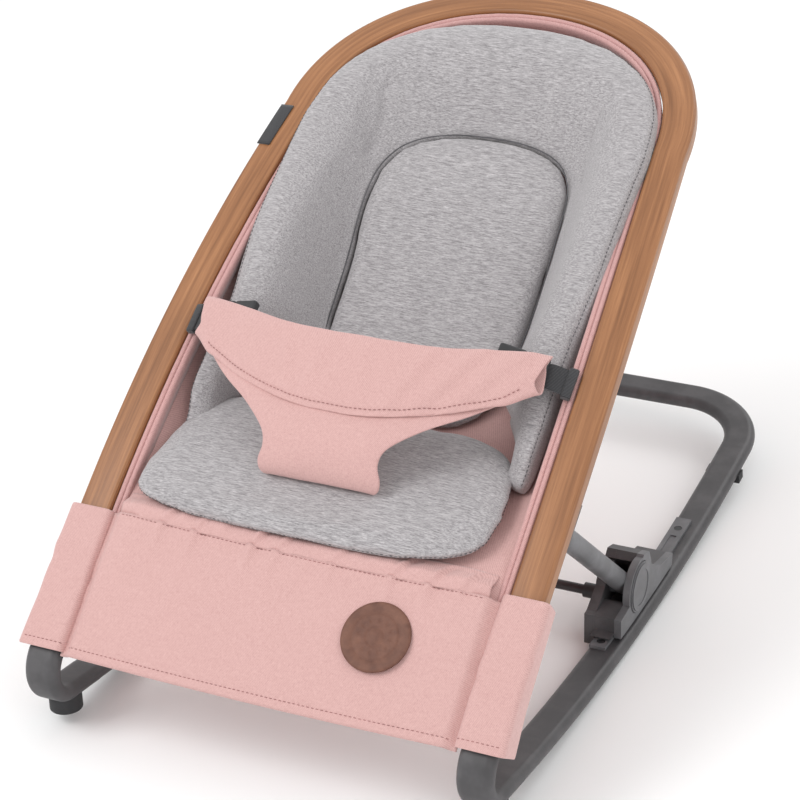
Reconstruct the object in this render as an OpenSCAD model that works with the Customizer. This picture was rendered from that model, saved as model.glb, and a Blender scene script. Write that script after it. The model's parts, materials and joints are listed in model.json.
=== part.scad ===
// Baby bouncer seat: a bent-wood hoop on a rocking tube base, with a recline linkage and fabric seat.
// The seat faces -Y, +Z is up, and the origin is on the floor under the middle of the seat.

/* [Hoop] */
// Outer width of the hoop at its lower end
hoop_w = 427; // [418:1:432]
// Outer width of the hoop where its round top begins
hoop_top_w = 395; // [388:1:400]
// Length of the hoop along its front face, from the hem of the sleeves to the top
hoop_len = 763; // [755:1:770]
// Length of the round top
hoop_cap = 185; // [175:1:195]
// Width of the bent wood bar
bar_w = 30; // [28:1:31]
// Thickness of the bent wood bar
bar_t = 16; // [14:1:16]

/* [Base] */
// Radius of the rocker's lower edge
rocker_r = 1991; // [1900:1:2100]
// Width of the flat-oval base tube
tube_w = 31; // [28:1:32]
// Height of the flat-oval base tube
tube_h = 14; // [13:1:15]
// Wall of the base tube
tube_wall = 1.2; // [1:0.1:1.6]
// Distance from the middle of the seat to the middle of each side tube
rail_x = 199.5; // [199:0.5:200]
// Radius of the rear corners, to the middle of the tube
corner_r = 71; // [60:1:75]

/* [Linkage] */
// Outer diameter of the struts
strut_d = 19; // [17:0.5:19]
// Diameter of every pivot pin
pin_d = 8; // [7:0.5:8]
// Sideways place of the middle of each strut
strut_x = 193; // [192.5:0.1:193.5]
// Travel of each round release button
button_travel = 3; // [2:0.1:3]

/* [Fabric] */
// Diameter of the leather patch
patch_d = 60; // [50:1:62]
// Thickness of the seat pad
pad_t = 18; // [14:1:18]
// Thickness of the fabric of the sleeves
sleeve_t = 2.2; // [1.5:0.1:2.4]

/* [Hidden] */

wood = [0.74, 0.50, 0.34];
pink = [0.86, 0.69, 0.67];
grey = [0.70, 0.68, 0.69];
dark = [0.29, 0.28, 0.29];
mid = [0.46, 0.46, 0.48];
black = [0.10, 0.10, 0.11];
leather = [0.43, 0.28, 0.22];
steel = [0.62, 0.63, 0.65];

gap = 0.4;          // clearance between neighbouring pieces
run = 0.05;         // radial running clearance on a pin
big = 720;          // facets of the large arcs
fine = 64;          // facets of round pieces

// Hoop: its front face is part of a cylinder, and s is the distance up that face
hoop_r = 2183;      // radius of the front face, seen from the side
hoop_y = -363.3;    // front end of the face, at s = 0
hoop_z = 89.1;
hoop_slope = 41.6;  // slope at s = 0
hoop_bulge = 9;     // how far the sides bow out
cap_pow = 2.1;      // roundness of the top
cap_s = hoop_len - hoop_cap;
mid_s = hoop_len / 2;
wood_s = 46;        // the wood starts here, inside its lower fitting

// Fold axle and strut pivots
axle_s = 19;
axle_dp = -bar_t / 2;
hinge_s = 203;
hinge_dp = -bar_t - 13.5;
carriage_y = -18.7; // strut pivot on the carriage
carriage_z = 44.8;
low_y = -19.2;      // the rocker touches the floor here, under the centre of mass
rail_c = rocker_r - tube_h / 2;
foot_y = -340.6;    // rocking stops under the elbows, clear of the floor at rest
foot_z = 12.9;
bumper_y = 253.4;
carriage_phi = asin((carriage_y - low_y) / rocker_r);
leg_x = 199.5;      // middle of the hoop's legs at the axle

function slope(s) = hoop_slope - s / hoop_r * 180 / PI;
function hy(s, d = 0) = hoop_y + hoop_r * (sin(hoop_slope) - sin(slope(s))) - d * sin(slope(s));
function hz(s, d = 0) = hoop_z + hoop_r * (cos(slope(s)) - cos(hoop_slope)) + d * cos(slope(s));
function side_w(s, e) = let(t = s / cap_s)
  hoop_w / 2 * (1 - t) + hoop_top_w / 2 * t + 4 * hoop_bulge * t * (1 - t) - e;
function chord(s) = hoop_r * sin((s - mid_s) / hoop_r * 180 / PI);

// Outline of the hoop moved inwards by e, in its own flat frame, from s = s0 up
function half_outline(e, s0) = concat(
  [for (i = [0:8]) let(s = s0 + (cap_s - s0) * i / 8) [side_w(s, e), chord(s)]],
  [for (a = [8:8:88]) [
    (hoop_top_w / 2 - e) * pow(cos(a), 2 / cap_pow),
    chord(cap_s + (hoop_cap - e) * pow(sin(a), 2 / cap_pow))]]);
function mirrored(pts) = [for (i = [len(pts) - 1:-1:0]) [-pts[i][0], pts[i][1]]];
function outline(e, s0) = let(h = half_outline(e, s0))
  concat(h, [[0, chord(hoop_len - e)]], mirrored(h));

// Smooth line through a few points
function spline_at(p, i, t) = let(
  a = p[max(i - 1, 0)], b = p[i], c = p[i + 1], d = p[min(i + 2, len(p) - 1)])
  b + 0.5 * t * ((c - a) + t * ((2 * a - 5 * b + 4 * c - d) + t * (3 * (b - c) + d - a)));
function smooth(p, n = 4) = concat(
  [for (i = [0:len(p) - 2], j = [0:n - 1]) spline_at(p, i, j / n)], [p[len(p) - 1]]);
function raise(p, h) = [for (q = p) [q[0], q[1] + h]];
function world(p) = [for (q = p) [hy(q[0], q[1]), hz(q[0], q[1])]];
function flip(p) = [for (i = [len(p) - 1:-1:0]) p[i]];

// Side lines of the soft parts: distance up the hoop, height over its front face
sling_line = [[112, 1], [126, 6], [160, -9], [200, -26], [250, -48], [286, -63], [330, -84],
  [370, -93], [440, -86], [520, -65], [600, -51], [680, -32], [738, -16]];
pad_line = [[122, 24], [127, 28], [160, 13], [200, -4], [250, -26], [284, -41]];
bolster_line = [[222, -7], [240, -3], [300, 1], [338, 2], [380, 8], [450, 15], [545, 22], [620, 20],
  [680, 13], [738, 2]];
floor_t = 12;       // back cushion under the insert
insert_t = 16;
flange_t = 14;      // back cushion along the hoop
wall_t = 16;        // back cushion round the insert

module at_hoop(s, d = 0, x = 0)
  translate([x, hy(s), hz(s)]) rotate([slope(s), 0, 0]) translate([0, 0, d]) children();
// A prism square to the hoop's middle, with the hoop's outline moved in by e
module prism(e, s0) at_hoop(mid_s, -150) linear_extrude(260) polygon(outline(e, s0));
// All that lies between two heights over the hoop's front face
module shell(d0, d1) at_hoop(mid_s, -hoop_r) rotate([0, 90, 0]) difference() {
  cylinder(r = hoop_r + d1, h = 700, center = true, $fn = big);
  cylinder(r = hoop_r + d0, h = 702, center = true, $fn = big);
}
// Extrudes an outline drawn in Y and Z from x0 to x1
module yz(x0, x1) translate([x0, 0, 0]) rotate([90, 0, 90]) linear_extrude(x1 - x0) children();
module band(low, high, half_w) yz(-half_w, half_w) polygon(concat(world(low), flip(world(high))));
// Turns an outline about an X axis at (yc, zc): angle 0 is straight down, plus is towards +Y
module arc_x(yc, zc, p0, p1) translate([0, yc, zc]) rotate([0, 90, 0])
  rotate_extrude(angle = p1 - p0, start = p0, $fn = big) children();
module flat_oval(w, h) union() {
  square([h, w - h], center = true);
  for (k = [-1, 1]) translate([0, k * (w - h) / 2]) circle(d = h, $fn = fine);
}
module round_rect(w, l, r) union() {
  square([w, l - 2 * r], center = true);
  square([w - 2 * r, l], center = true);
  for (i = [-1, 1], j = [-1, 1]) translate([i * (w / 2 - r), j * (l / 2 - r)]) circle(r = r, $fn = fine);
}
module x_pin(x0, x1, d) translate([x0, 0, 0]) rotate([0, 90, 0]) cylinder(d = d, h = x1 - x0, $fn = fine);
module each_side() for (k = [0, 1]) mirror([k, 0, 0]) children();
module left() mirror([1, 0, 0]) children();

// ---- base ----
seam_phi = asin((-305.5 - low_y) / rail_c);
rear_phi = asin((290.9 - low_y) / rail_c);
axle_y = hy(axle_s, axle_dp);
axle_z = hz(axle_s, axle_dp);
turn_end = hoop_slope - 180;
// The elbow's bend is tangent to the rail and ends under the axle, on the line of the hoop
end_y = hy(-3, axle_dp) - low_y;
end_z = hz(-3, axle_dp) - rocker_r;
elbow_r = (rail_c * rail_c - end_y * end_y - end_z * end_z)
  / (2 * (rail_c - end_y * sin(turn_end) + end_z * cos(turn_end)));
bend_y = hy(-3, axle_dp) - elbow_r * sin(turn_end);
bend_z = hz(-3, axle_dp) + elbow_r * cos(turn_end);
rail_phi = asin((bend_y - low_y) / (rail_c - elbow_r));

module at_rail(phi) translate([0, low_y + rail_c * sin(phi), rocker_r - rail_c * cos(phi)])
  rotate([phi, 0, 0]) children();

module tube_section() difference() {
  flat_oval(tube_w, tube_h);
  flat_oval(tube_w - 2 * tube_wall, tube_h - 2 * tube_wall);
}
// The base is one bent tube, kept here as two side lengths and the rear bow
module rail() color(dark) arc_x(low_y, rocker_r, seam_phi, rear_phi) translate([rail_c, rail_x])
  tube_section();
module rear_bow() color(dark) at_rail(rear_phi) {
  for (k = [0, 1]) mirror([k, 0, 0]) translate([rail_x - corner_r, 0, 0])
    rotate_extrude(angle = 90, $fn = 128) translate([corner_r, 0]) rotate(90) tube_section();
  translate([-(rail_x - corner_r), corner_r, 0]) rotate([90, 0, 90])
    linear_extrude(2 * (rail_x - corner_r)) rotate(90) tube_section();
}
// The elbow: its bend, the arm along the rail and the arm up to the axle
elbow_arm = rail_c * (seam_phi - rail_phi) * PI / 180;
module elbow_body() {
  arc_x(bend_y, bend_z, turn_end, rail_phi) translate([elbow_r, rail_x])
    flat_oval(tube_w + 1, tube_h + 1);
  at_rail(seam_phi) translate([rail_x, 0, 0]) rotate([90, 0, 0]) linear_extrude(elbow_arm + 4)
    rotate(90) flat_oval(tube_w + 0.4, tube_h + 0.4);
  at_hoop(-7, axle_dp, rail_x) rotate([-90, 0, 0]) linear_extrude(13)
    rotate(90) flat_oval(tube_w + 0.4, tube_h + 0.4);
}
module elbow() color(dark) difference() {
  union() {
    elbow_body();
    at_rail(seam_phi) translate([rail_x, 0, 0]) rotate([-90, 0, 0]) translate([0, 0, -5])
      linear_extrude(25) rotate(90) flat_oval(tube_w - 2 * tube_wall - 0.6, tube_h - 2 * tube_wall - 0.6);
    at_hoop(axle_s, axle_dp, leg_x) {
      translate([-6, -16, -8]) cube([12, 16, 16]);
      x_pin(-6, 6, 16);
    }
  }
  at_hoop(axle_s, axle_dp, leg_x) x_pin(-20, 20, pin_d + 2 * run);
}
module foot() color(black) difference() {
  translate([rail_x, foot_y, foot_z]) cylinder(d = 29, h = 16, $fn = fine);
  elbow_body();
}
module rear_bumper() color(black) at_rail(asin((bumper_y - low_y) / rail_c))
  translate([rail_x, 0, 0]) difference() {
    translate([-tube_w / 2 - 1.8, -6, -tube_h / 2 - 3]) cube([tube_w + 3.6, 12, 9]);
    rotate([90, 0, 0]) linear_extrude(30, center = true) rotate(90) flat_oval(tube_w + 0.4, tube_h + 0.4);
  }
// Guide strip on the inner half of the rail's top, with a slot for the carriage
rail_top = rocker_r - tube_h;
guide_t = 3;
glide_gap = 2.6;    // the carriage stays this far over the rail and its guide
guide_screw_y = [-77.5, 131.5];
module guide_arc(y0, y1) arc_x(low_y, rocker_r, asin((y0 - low_y) / rocker_r), asin((y1 - low_y) / rocker_r))
  children();
module guide() color(mid) difference() {
  guide_arc(-87.5, 149.5)
    translate([rail_top - guide_t / 2 - 0.02, 194]) square([guide_t, 15], center = true);
  guide_arc(-59.5, 118.5)
    translate([rail_top - guide_t, 194]) square([2, 6], center = true);
  for (y = guide_screw_y) guide_screw_place(y) {
    cylinder(d = 4.2, h = 20, center = true, $fn = fine);
    translate([0, 0, guide_t - 1.6]) cylinder(d = 8, h = 5, $fn = fine);
  }
}
module guide_screw_place(y) translate([194, 0, 0]) let(p = asin((y - low_y) / rocker_r))
  translate([0, low_y + rail_top * sin(p), rocker_r - rail_top * cos(p)]) rotate([p, 0, 0]) children();
module guide_screws() color(black) each_side() for (y = guide_screw_y) guide_screw_place(y) {
  translate([0, 0, guide_t - 1.5]) cylinder(d = 7.5, h = 1.3, $fn = fine);
  translate([0, 0, 0.1]) cylinder(d = 4, h = guide_t - 1, $fn = fine);
}
module fold_axle() color(steel) at_hoop(axle_s, axle_dp) x_pin(-leg_x - 17, leg_x + 17, pin_d);
module axle_caps() color(black) at_hoop(axle_s, axle_dp) each_side()
  translate([leg_x + 17.1, 0, 0]) x_pin(0, 2, 12);

// ---- hoop and its fittings ----
module hoop() color(wood) difference() {
  intersection() {
    prism(0, wood_s);
    shell(-bar_t, 0);
  }
  prism(bar_w, wood_s - 40);
}
// Fork round the elbow's tongue, and a socket for the wood
module hoop_end() color(dark) difference() {
  union() {
    at_hoop(axle_s, axle_dp, leg_x) {
      for (x = [-15, 6.5]) translate([x, 0, 0]) {
        x_pin(0, 8.5, 17);
        translate([0, 0, -8.5]) cube([8.5, 12, 17]);
      }
      translate([-15, 10, -9.5]) cube([30, 15, 19]);
    }
    at_hoop(58, -bar_t / 2, leg_x + 0.4) translate([-17.5, -15, -10]) cube([35, 28, 20]);
  }
  at_hoop(axle_s, axle_dp, leg_x) x_pin(-25, 25, pin_d + 2 * run);
  hoop_socket();
}
module hoop_socket() difference() {
  intersection() {
    prism(-0.1, wood_s - 0.2);
    shell(-bar_t - 0.1, 0.1);
  }
  prism(bar_w + 0.1, wood_s - 40);
}
module at_hinge() at_hoop(hinge_s, hinge_dp, strut_x) children();
module bracket() color(dark) difference() {
  union() {
    at_hoop(hinge_s, -bar_t - 0.3, 0) translate([179.5, -20, -3]) cube([35, 40, 3]);
    at_hinge() for (x = [-13.5, 10.5]) {
      x_pin(x, x + 3, 18);
      translate([x, -9, 0]) cube([3, 18, 11.5]);
    }
  }
  at_hinge() x_pin(-20, 20, pin_d);
  bracket_screw_places() cylinder(d = 4.2, h = 30, center = true, $fn = fine);
}
module bracket_screw_places() for (s = [-14, 14]) at_hoop(hinge_s + s, -bar_t, 209) children();
module bracket_screws() color(steel) each_side() bracket_screw_places() {
  translate([0, 0, -5]) cylinder(d = 8, h = 1.5, $fn = fine);
  translate([0, 0, -3.6]) cylinder(d = 4, h = 14, $fn = fine);
}
module bracket_pin() color(steel) at_hinge() {
  x_pin(-13.5, 13.5, pin_d);
  x_pin(13.5, 15, 11);
  x_pin(-15, -13.5, 11);
}

// ---- fabric ----
module sling() color(pink) intersection() {
  band(raise(smooth(sling_line), -2.5), smooth(sling_line), 172);
  prism(bar_w + 9, 60);
}
module piping() color(pink) difference() {
  intersection() {
    prism(bar_w + gap, 132);
    shell(-14, -4);
  }
  prism(bar_w + 8, 90);
}
module front_panel() color(pink) at_hoop(52, 0) translate([-178, -58, 1.2]) cube([356, 116, 4]);
// A sleeve is a loose fabric tube round the hoop's leg and its lower fitting
sleeve_out = [[4, -29], [-4, 5.5], [60, 5.5], [127, 4], [127, -21], [60, -25.5]];
sleeve_in = [[3, -29 + sleeve_t], [-5, 5.5 - sleeve_t], [60, 5.5 - sleeve_t], [128, 4 - sleeve_t],
  [128, -21 + sleeve_t], [60, -25.5 + sleeve_t]];
module sleeve() color(pink) difference() {
  yz(179, 221) polygon(world(sleeve_out));
  yz(179 + sleeve_t - 0.8, 221 - sleeve_t) polygon(world(sleeve_in));
  at_hoop(axle_s, axle_dp, 0) x_pin(170, 200, pin_d + 1.4);
}
module leather_patch() color(leather) at_hoop(52, 5.4, 92) translate([0, 17, 0])
  cylinder(d = patch_d, h = 2.2, $fn = fine);
module side_tag() color(black) at_hoop(545, 0.3, -189) rotate(-1.5) translate([-6, -25, 0]) cube([12, 50, 1.2]);

// Oval of the insert, in the hoop's own flat frame
insert_half = [[0, 288], [58, 292], [82, 318], [91, 380], [96, 450], [98, 510], [92, 552], [76, 580],
  [48, 596], [0, 602]];
insert_mid = 445;
function insert_points(e) = let(
  p = [for (q = smooth(insert_half, 3)) [q[0] * (1 - e / 98), chord(insert_mid + (q[1] - insert_mid) * (1 - e / 157))]],
  open = [for (i = [1:len(p) - 2]) p[i]])
  concat([p[0]], open, [p[len(p) - 1]], mirrored(open));
module insert_prism(e) at_hoop(mid_s, -150) linear_extrude(260) polygon(insert_points(e));

module back_cushion() color(grey) difference() {
  intersection() {
    band(raise([for (q = smooth(sling_line)) if (q[0] > 215) q], 0.6), smooth(bolster_line), 178);
    prism(bar_w + 9, 160);
  }
  intersection() {
    insert_prism(0);
    band(raise([for (q = smooth(sling_line)) if (q[0] > 240) q], floor_t), [[245, 40], [738, 40]], 120);
  }
  band([[100, -90], [288.5, -90]], [[100, 40], [288.5, 40]], 152);
  band([[100, -90], [288.5, -90]], concat(raise(smooth(pad_line), 0.8), [[288.5, -41]]), 200);
  difference() {
    band(concat(raise(smooth(sling_line), -5), [[770, -26]]),
      concat(raise(smooth(bolster_line), -flange_t), [[770, -13]]), 200);
    insert_prism(-wall_t);
  }
}
module body_insert() color(grey) intersection() {
  insert_prism(0.6);
  band(raise([for (q = smooth(sling_line)) if (q[0] > 240) q], floor_t + 0.5),
    raise([for (q = smooth(sling_line)) if (q[0] > 240) q], floor_t + insert_t), 120);
}
module seat_cushion() color(grey) intersection() {
  band(raise(smooth(pad_line), -pad_t), smooth(pad_line), 168);
  at_hoop(205, -120) linear_extrude(200) round_rect(336, 170, 34);
}

// ---- harness ----
band_ends = 155;    // where the straps leave the waist band
band_rise = 24;     // rise of its middle over its ends
band_r = (band_ends * band_ends + band_rise * band_rise) / (2 * band_rise);
strap_tilt = asin(band_ends / band_r);
strap_s = 320;
strap_dp = 26;
band_half = [[0, 314], [62, 318], [125, 325], [154, 337], [155, 305], [132, 282], [100, 262], [50, 245],
  [0, 240]];
module waist_band() color(pink) intersection() {
  at_hoop(strap_s, strap_dp + band_rise - band_r) rotate([90, 0, 0]) difference() {
    cylinder(r = band_r, h = 300, center = true, $fn = 256);
    cylinder(r = band_r - 8, h = 302, center = true, $fn = 256);
  }
  at_hoop(strap_s, -20) linear_extrude(120)
    polygon([for (q = concat(band_half, mirrored(band_half))) [q[0], q[1] - strap_s]]);
}
crotch_outer = [[239, 47], [215, 45], [190, 37], [180, 26], [184, 12], [196, 4]];
crotch_inner = [[239, 43], [215, 41], [193, 33.5], [184, 25], [187.5, 14], [198, 7.5]];
crotch_half = [[60, 170], [61, 198], [70, 214], [92, 228], [122, 238]];
module crotch_piece() color(pink) intersection() {
  yz(-125, 125) polygon(concat(world(smooth(crotch_inner)), flip(world(smooth(crotch_outer)))));
  at_hoop(205, -60) linear_extrude(160)
    polygon([for (q = concat(crotch_half, mirrored(crotch_half))) [q[0], q[1] - 205]]);
}
// Straps leave the band's ends along its own curve: x is along the strap, z is off its face
module at_strap() at_hoop(strap_s, strap_dp, band_ends) rotate([0, strap_tilt, 0]) children();
module strap() color(black) at_strap() translate([2.4, -12, -15]) cube([27.6, 24, 1.6]);
module strap_anchor() color(black) at_strap() difference() {
  translate([24, -15, -18.3]) cube([7.5, 30, 8.3]);
  translate([20, -12.1, -15.1]) cube([14, 24.2, 1.8]);
}
module buckle_socket() color(black) at_strap() difference() {
  translate([-38, -16, -18.4]) cube([24, 32, 8.4]);
  translate([-30, -11, -16.8]) cube([18, 22, 5.2]);
}
module buckle_plug() color(black) at_strap() difference() {
  union() {
    translate([-13.6, -16, -18.4]) cube([20.6, 32, 8.4]);
    for (v = [-9.5, -2, 5.5]) translate([-28, v, -16.3]) cube([15.5, 4, 4.2]);
  }
  translate([-12.4, -12.3, -15.3]) cube([30, 24.6, 2.2]);
  for (u = [-9.5, -1.5]) translate([u, -12.3, -20]) cube([4, 24.6, 12]);
}

// ---- struts ----
strut_len = norm([hy(hinge_s, hinge_dp) - carriage_y, hz(hinge_s, hinge_dp) - carriage_z]);
strut_angle = atan2(hz(hinge_s, hinge_dp) - carriage_z, hy(hinge_s, hinge_dp) - carriage_y);
module at_carriage() translate([0, carriage_y, carriage_z]) children();
module strut() color(mid) at_carriage() translate([strut_x, 0, 0]) difference() {
  union() {
    rotate([strut_angle, 0, 0]) rotate([-90, 0, 0]) cylinder(d = strut_d, h = strut_len, $fn = fine);
    x_pin(-9.5, 9.5, strut_d);
    rotate([strut_angle, 0, 0]) translate([0, strut_len, 0]) x_pin(-9.5, 9.5, strut_d);
  }
  x_pin(-20, 20, pin_d + 2 * run);
  rotate([strut_angle, 0, 0]) translate([0, strut_len, 0]) x_pin(-20, 20, pin_d + 2 * run);
}

// ---- carriage: u runs back along the rail, w is up from the pivot ----
module on_carriage() at_carriage() rotate([carriage_phi, 0, 0]) children();
button_x = 207.4;
// Outlines in u and w
front_block = [[-48, -34], [-14, -34], [-14, -14], [-22, -6], [-48, -9]];
rear_block = [[22, -34], [88, -34], [90, -14], [66, -10], [30, -4], [22, -12]];
rear_horn = [[12, 12], [24, -6], [34, -8], [30, 12], [24, 24], [10, 28], [4, 22]];
// Sideways limits of the three pieces of the carriage
plate_x = [174, 183.1];
block_x = [183.2, 202.4];
cover_x = [202.5, 209];
// A piece of the carriage stays inside a circle over the rail
module carriage_piece(x, r) difference() {
  intersection() {
    on_carriage() yz(x[0], x[1]) children();
    translate([x[0] - 1, low_y, rocker_r]) rotate([0, 90, 0]) cylinder(r = r, h = x[1] - x[0] + 2, $fn = big);
  }
  on_carriage() x_pin(150, 203.4, pin_d);
}
// The plate hangs down inside the rail and keeps the carriage from lifting off sideways
module carriage_plate() color(dark) carriage_piece(plate_x, rail_top + 9) union() {
  circle(r = 20, $fn = 128);
  polygon([[-48, -44], [40, -44], [40, -12], [18, 8], [-18, 6], [-48, -12]]);
  polygon(front_block);
  polygon(rear_block);
  polygon(rear_horn);
}
module carriage() color(dark) difference() {
  carriage_piece(block_x, rail_top - guide_t - glide_gap) union() {
    polygon(front_block);
    polygon([[-14.1, -34], [24, -34], [24, -16], [-14.1, -16]]);
    polygon(rear_block);
    polygon(rear_horn);
    polygon([[-62, -34], [-47, -34], [-47, -22], [-60, -25]]);
  }
  on_carriage() x_pin(150, 230, strut_d + 1.4);
  pawl_pocket();
}
// The cover holds the round button
module carriage_cover() color(dark) difference() {
  carriage_piece(cover_x, rail_top - glide_gap) union() {
    circle(r = 27, $fn = 128);
    polygon([[-34, -34], [56, -34], [66, -16], [24, 12], [-25, -8]]);
    polygon(front_block);
    polygon(rear_block);
    polygon(rear_horn);
  }
  on_carriage() x_pin(204.2, 230, button_d + 1);
  on_carriage() x_pin(203.3, 230, spring_bore);
}
module carriage_pin() color(steel) on_carriage() x_pin(plate_x[0], 203, pin_d);
pawl_gap = 0.3;
module lock_pawl() color(steel) on_carriage() translate([188, 4, -26]) cube([12, 12, 5]);
module pawl_pocket() on_carriage() translate([188 - pawl_gap, 4 - pawl_gap, -30])
  cube([12 + 2 * pawl_gap, 12 + 2 * pawl_gap, 9.5 + button_travel + pawl_gap]);
// Rod between the two carriages
rod_y = -23.5;
rod_z = 33;
rod_d = 9;
rod_end = plate_x[0] - 0.2;
module link_rod() color(black) translate([-rod_end, rod_y, rod_z]) x_pin(0, 2 * rod_end, rod_d);
module rod_collars() color(black) translate([0, rod_y, rod_z]) each_side() difference() {
  x_pin(rod_end - 15.8, rod_end, 14);
  x_pin(150, 180, rod_d + 0.1);
}
button_d = 47.4;
spring_bore = 13;
module release_button() color(mid) on_carriage() {
  x_pin(button_x, button_x + 2.6, button_d);
  difference() {
    x_pin(button_x + 2.6, button_x + 3.6, 44);
    x_pin(button_x + 3, button_x + 5, 34);
  }
  x_pin(button_x - 1, button_x, spring_bore - 0.6);
}
module button_spring() color(steel) on_carriage() difference() {
  x_pin(204.4, button_x - 0.1, 18);
  x_pin(200, 210, spring_bore);
}

left() rail();  // rail_left
rail();  // rail_right
rear_bow();
left() elbow();  // elbow_left
elbow();  // elbow_right
left() foot();  // foot_left
foot();  // foot_right
left() rear_bumper();  // rear_bumper_left
rear_bumper();  // rear_bumper_right
left() guide();  // guide_left
guide();  // guide_right
guide_screws();
fold_axle();
axle_caps();
hoop();
left() hoop_end();  // hoop_end_left
hoop_end();  // hoop_end_right
left() bracket();  // bracket_left
bracket();  // bracket_right
bracket_screws();
left() bracket_pin();  // bracket_pin_left
bracket_pin();  // bracket_pin_right
sling();
piping();
front_panel();
left() sleeve();  // sleeve_left
sleeve();  // sleeve_right
leather_patch();
side_tag();
back_cushion();
body_insert();
seat_cushion();
waist_band();
crotch_piece();
left() strap();  // strap_left
strap();  // strap_right
left() strap_anchor();  // strap_anchor_left
strap_anchor();  // strap_anchor_right
left() buckle_socket();  // buckle_socket_left
buckle_socket();  // buckle_socket_right
left() buckle_plug();  // buckle_plug_left
buckle_plug();  // buckle_plug_right
left() strut();  // strut_left
strut();  // strut_right
left() carriage_plate();  // carriage_plate_left
carriage_plate();  // carriage_plate_right
left() carriage();  // carriage_left
carriage();  // carriage_right
left() carriage_cover();  // carriage_cover_left
carriage_cover();  // carriage_cover_right
left() carriage_pin();  // carriage_pin_left
carriage_pin();  // carriage_pin_right
left() lock_pawl();  // lock_pawl_left
lock_pawl();  // lock_pawl_right
link_rod();
rod_collars();
left() release_button();  // release_button_left
release_button();  // release_button_right
left() button_spring();  // button_spring_left
button_spring();  // button_spring_right
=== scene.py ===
import json
import math
import bpy
import bmesh
from mathutils import Matrix, Vector, noise
from mathutils.bvhtree import BVHTree
from mathutils.kdtree import KDTree


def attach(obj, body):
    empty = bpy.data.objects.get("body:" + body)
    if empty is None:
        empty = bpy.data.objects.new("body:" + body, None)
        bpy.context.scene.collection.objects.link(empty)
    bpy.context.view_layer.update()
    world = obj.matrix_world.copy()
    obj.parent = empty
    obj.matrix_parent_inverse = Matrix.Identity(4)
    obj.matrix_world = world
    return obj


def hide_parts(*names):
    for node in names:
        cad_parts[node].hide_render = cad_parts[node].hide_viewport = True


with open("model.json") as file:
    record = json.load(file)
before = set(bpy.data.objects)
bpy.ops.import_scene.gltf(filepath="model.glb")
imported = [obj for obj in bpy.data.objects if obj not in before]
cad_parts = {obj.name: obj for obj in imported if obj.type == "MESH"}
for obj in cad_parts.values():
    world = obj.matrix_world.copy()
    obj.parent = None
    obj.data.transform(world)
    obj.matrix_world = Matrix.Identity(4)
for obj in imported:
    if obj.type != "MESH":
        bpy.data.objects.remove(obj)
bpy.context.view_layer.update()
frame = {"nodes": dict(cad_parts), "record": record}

# ---------------------------------------------------------------- the hoop's own coordinates
# x is across the seat, s is the distance up the hoop's front face, d is the height over that face.
MM = 0.001
HOOP_R, HOOP_Y, HOOP_Z = 2183, -363.3, 89.1
HOOP_SLOPE = math.radians(41.6)
HOOP_W, HOOP_TOP_W, HOOP_LEN, HOOP_CAP = 427, 395, 763, 185
HOOP_BULGE, CAP_POWER = 9, 2.1
BAR_W, BAR_T = 30, 16
CAP_S = HOOP_LEN - HOOP_CAP
WOOD_S = 46            # the wood starts inside its lower fitting
STRAP_S, STRAP_D, STRAP_X = 320, 26, 155
BAND_RISE = 24
BAND_R = (STRAP_X ** 2 + BAND_RISE ** 2) / (2 * BAND_RISE)
STRAP_TILT = math.asin(STRAP_X / BAND_R)


def slope(s):
    return HOOP_SLOPE - s / HOOP_R


def at(x, s, d=0.0):
    """The point at x, s and d, in metres."""
    a = slope(s)
    y = HOOP_Y + HOOP_R * (math.sin(HOOP_SLOPE) - math.sin(a)) - d * math.sin(a)
    z = HOOP_Z + HOOP_R * (math.cos(a) - math.cos(HOOP_SLOPE)) + d * math.cos(a)
    return Vector((x, y, z)) * MM


def hoop_matrix(x, s, d=0.0):
    """A frame on the hoop: X across, Y up the face, Z off the face."""
    return Matrix.Translation(at(x, s, d)) @ Matrix.Rotation(slope(s), 4, "X")


def side_w(s):
    t = s / CAP_S
    return HOOP_W / 2 * (1 - t) + HOOP_TOP_W / 2 * t + 4 * HOOP_BULGE * t * (1 - t)


def rim(e, s0, n_side=46, n_cap=34, squeeze=1.0):
    """(x, s) along the hoop's outline moved inwards by e, from the right foot over the top to the left."""
    half = []
    for i in range(n_side):
        s = s0 + (CAP_S - s0) * i / n_side
        half.append(((side_w(s) - e) * squeeze, s))
    for i in range(n_cap + 1):
        a = math.pi / 2 * i / n_cap
        x = (HOOP_TOP_W / 2 - e) * max(math.cos(a), 0) ** (2 / CAP_POWER)
        s = CAP_S + (HOOP_CAP - e) * squeeze * math.sin(a) ** (2 / CAP_POWER)
        half.append((x * squeeze, s))
    return half + [(-x, s) for x, s in reversed(half[:-1])]


def between(a, b, c, d, t):
    """The value at t on the smooth line from b to c, with a before them and d after them."""
    return b + 0.5 * t * ((c - a) + t * ((2 * a - 5 * b + 4 * c - d) + t * (3 * (b - c) + d - a)))


def smooth_path(points, n=8):
    """A smooth line through a few points."""
    out = []
    for i in range(len(points) - 1):
        a, b = points[max(i - 1, 0)], points[i]
        c, d = points[i + 1], points[min(i + 2, len(points) - 1)]
        for j in range(n):
            out.append(tuple(between(*four, j / n) for four in zip(a, b, c, d)))
    return out + [tuple(points[-1])]


def line_at(points, s):
    """The height of a side line at s, on the smooth line through its points."""
    if s <= points[0][0]:
        return points[0][1]
    for i in range(len(points) - 1):
        if s <= points[i + 1][0]:
            a, b = points[max(i - 1, 0)][1], points[i][1]
            c, d = points[i + 1][1], points[min(i + 2, len(points) - 1)][1]
            t = (s - points[i][0]) / (points[i + 1][0] - points[i][0])
            return between(a, b, c, d, t)
    return points[-1][1]


def spread(start, end, n):
    """n + 1 even steps from start to end."""
    return [start + (end - start) * i / n for i in range(n + 1)]


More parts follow.
